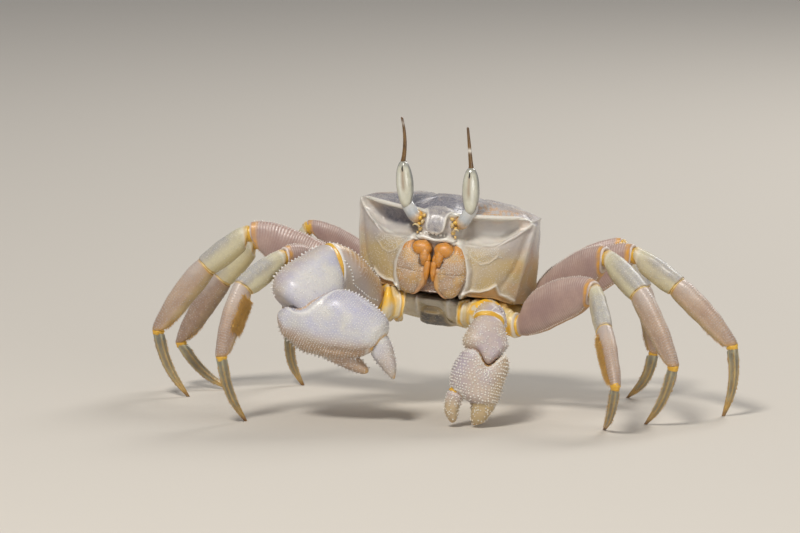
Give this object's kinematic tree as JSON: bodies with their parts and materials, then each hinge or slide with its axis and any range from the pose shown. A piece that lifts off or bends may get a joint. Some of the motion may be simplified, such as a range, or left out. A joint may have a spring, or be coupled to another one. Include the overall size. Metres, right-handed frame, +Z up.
{
  "type": "ghost crab figure",
  "caption": "Life-size still model of a horned ghost crab, standing alert on its walking legs with one large claw and one small claw held in front.",
  "frame": {"origin": "on the floor, at the middle of the crab's bounding box seen from above", "axes": "+Z up; the crab faces -Y, so its own left side is +X and the legs spread along X"},
  "size_m": [0.1434, 0.0706, 0.0699],
  "materials": {
    "shell": "finely grained, slightly glossy lilac-grey shell",
    "belly": "satin pale grey-cream underside plate",
    "tail": "satin dark blue-grey tail plate",
    "mouth": "satin, grained pinkish beige with orange edges",
    "stem": "glossy pale blue-white stem that turns amber-brown in the horn",
    "cornea": "glassy cream eye with a dark slit",
    "coxa": "satin yellow-orange with cream",
    "merus": "satin mauve-grey with fine pale ribs",
    "carpus": "satin cream to lilac, grained",
    "propodus": "satin pinkish beige",
    "dactyl": "horn-like greenish cream with amber tip",
    "claw": "satin pearly lilac-white with pale granules"
  },
  "bodies": {
    "root": {"carapace": "shell", "sternum": "belly", "abdomen": "tail", "left_maxilliped": "mouth", "left_eye_stalk": "stem", "left_eye_cornea": "cornea", "left_claw_coxa": "coxa", "left_claw_merus": "claw", "left_claw_carpus": "claw", "left_claw_palm": "claw", "left_claw_finger": "claw", "left_leg_1_coxa": "coxa", "left_leg_1_merus": "merus", "left_leg_1_carpus": "carpus", "left_leg_1_propodus": "propodus", "left_leg_1_dactyl": "dactyl", "left_leg_2_coxa": "coxa", "left_leg_2_merus": "merus", "left_leg_2_carpus": "carpus", "left_leg_2_propodus": "propodus", "left_leg_2_dactyl": "dactyl", "left_leg_3_coxa": "coxa", "left_leg_3_merus": "merus", "left_leg_3_carpus": "carpus", "left_leg_3_propodus": "propodus", "left_leg_3_dactyl": "dactyl", "left_leg_4_coxa": "coxa", "left_leg_4_merus": "merus", "left_leg_4_carpus": "carpus", "left_leg_4_propodus": "propodus", "left_leg_4_dactyl": "dactyl", "right_maxilliped": "mouth", "right_eye_stalk": "stem", "right_eye_cornea": "cornea", "right_claw_coxa": "coxa", "right_claw_merus": "claw", "right_claw_carpus": "claw", "right_claw_palm": "claw", "right_claw_finger": "claw", "right_leg_1_coxa": "coxa", "right_leg_1_merus": "merus", "right_leg_1_carpus": "carpus", "right_leg_1_propodus": "propodus", "right_leg_1_dactyl": "dactyl", "right_leg_2_coxa": "coxa", "right_leg_2_merus": "merus", "right_leg_2_carpus": "carpus", "right_leg_2_propodus": "propodus", "right_leg_2_dactyl": "dactyl", "right_leg_3_coxa": "coxa", "right_leg_3_merus": "merus", "right_leg_3_carpus": "carpus", "right_leg_3_propodus": "propodus", "right_leg_3_dactyl": "dactyl", "right_leg_4_coxa": "coxa", "right_leg_4_merus": "merus", "right_leg_4_carpus": "carpus", "right_leg_4_propodus": "propodus", "right_leg_4_dactyl": "dactyl"}
  },
  "joints": []
}
